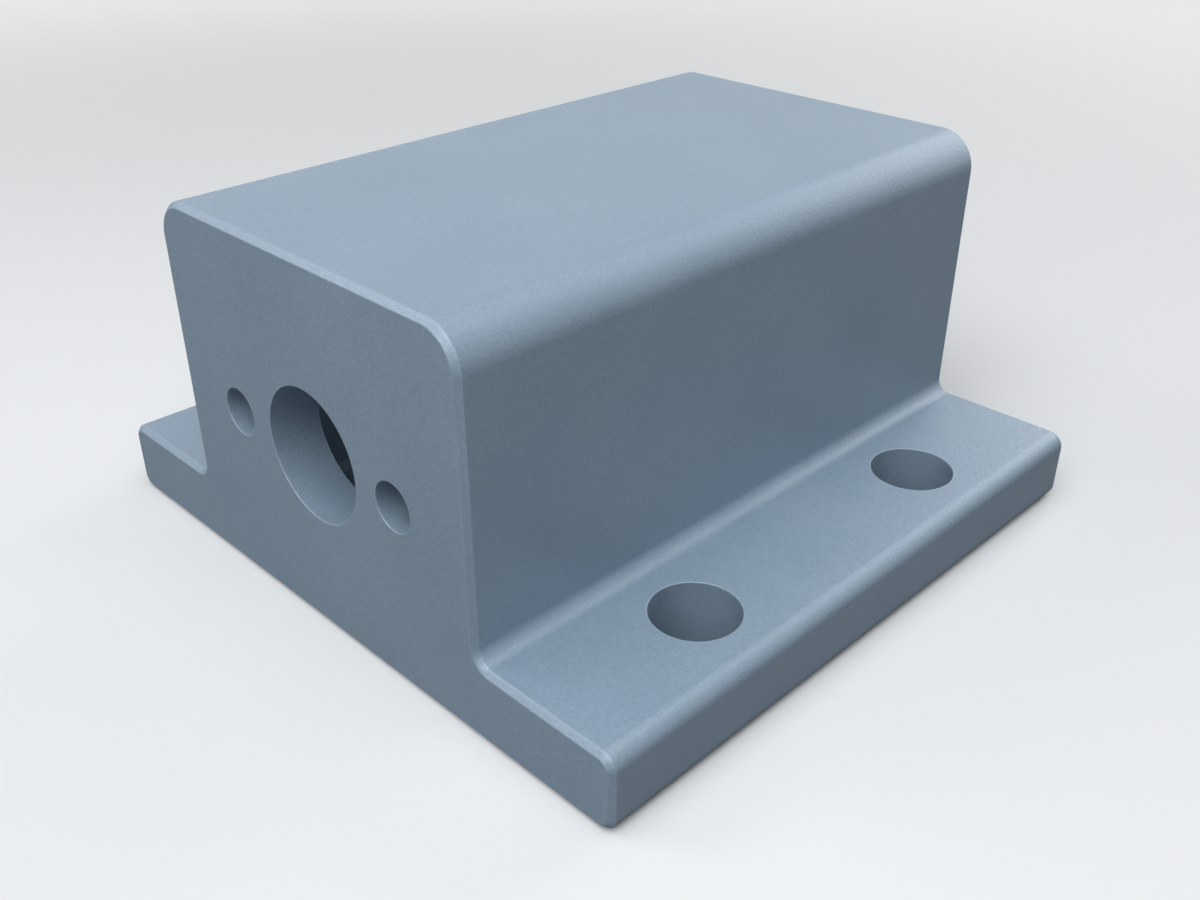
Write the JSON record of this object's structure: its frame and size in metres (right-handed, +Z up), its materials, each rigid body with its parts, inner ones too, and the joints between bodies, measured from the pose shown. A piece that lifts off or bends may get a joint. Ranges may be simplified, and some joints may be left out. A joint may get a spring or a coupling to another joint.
{
  "type": "motor mount",
  "caption": "One-piece motor mount: a housing block with a pocket open at the rear and a shaft bore and screw holes in its front wall, on a flanged base plate with bolt holes.",
  "frame": {"origin": "middle of the flat underside, midway along the width and the depth", "axes": "+Z up, away from the surface the mount is bolted to; -Y is the front, where the shaft comes out; +Y is the rear, where the pocket is open; +X to the right as seen from the front"},
  "size_m": [0.142, 0.134, 0.072],
  "materials": {
    "body": "fine bead-blasted, anodised blue-grey, satin"
  },
  "bodies": {
    "root": {"motor_mount": "body"}
  },
  "joints": []
}
